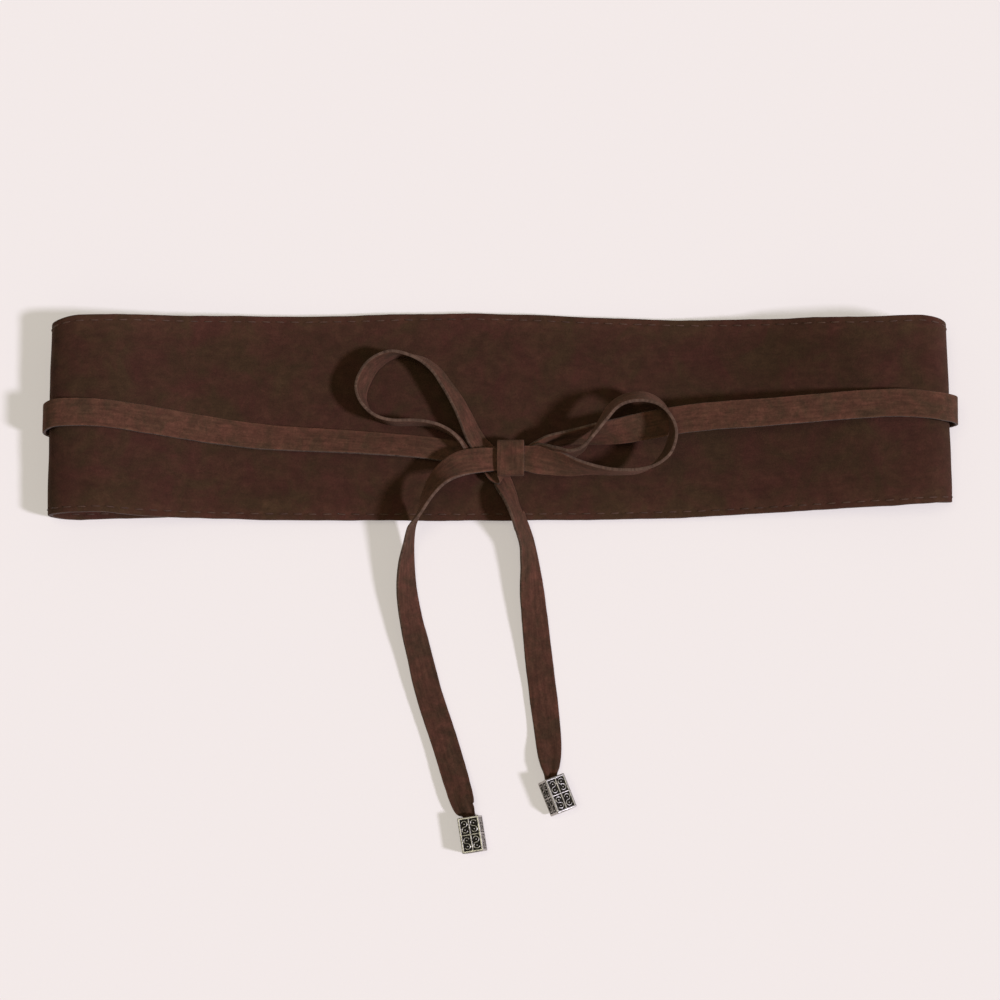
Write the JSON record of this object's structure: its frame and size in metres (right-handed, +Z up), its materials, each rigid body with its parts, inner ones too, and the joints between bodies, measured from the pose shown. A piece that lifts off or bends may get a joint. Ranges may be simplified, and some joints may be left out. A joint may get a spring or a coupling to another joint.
{
  "type": "suede wrap belt tied in a bow",
  "caption": "Wide suede waist belt lying flat as a loop, closed by long straps that are wrapped to the front and tied in a bow, with a square cast bead on each strap end.",
  "frame": {"origin": "on the floor, under the middle of the whole belt's box", "axes": "+X along the belt's length towards the right fold, +Y towards the belt's upper edge, away from the hanging strap ends, +Z up from the floor"},
  "size_m": [0.3632, 0.2158, 0.0307],
  "materials": {
    "panel_suede": "dark chocolate brown suede with mottled nap",
    "strap_suede": "dark chocolate brown suede with pale greyish cut edges",
    "antique_silver": "cast, antiqued silver: bright raised rims, dark recesses"
  },
  "bodies": {
    "root": {"waist_band": "panel_suede", "right_strap": "strap_suede", "left_strap": "strap_suede", "left_bead": "antique_silver", "right_bead": "antique_silver"}
  },
  "joints": []
}
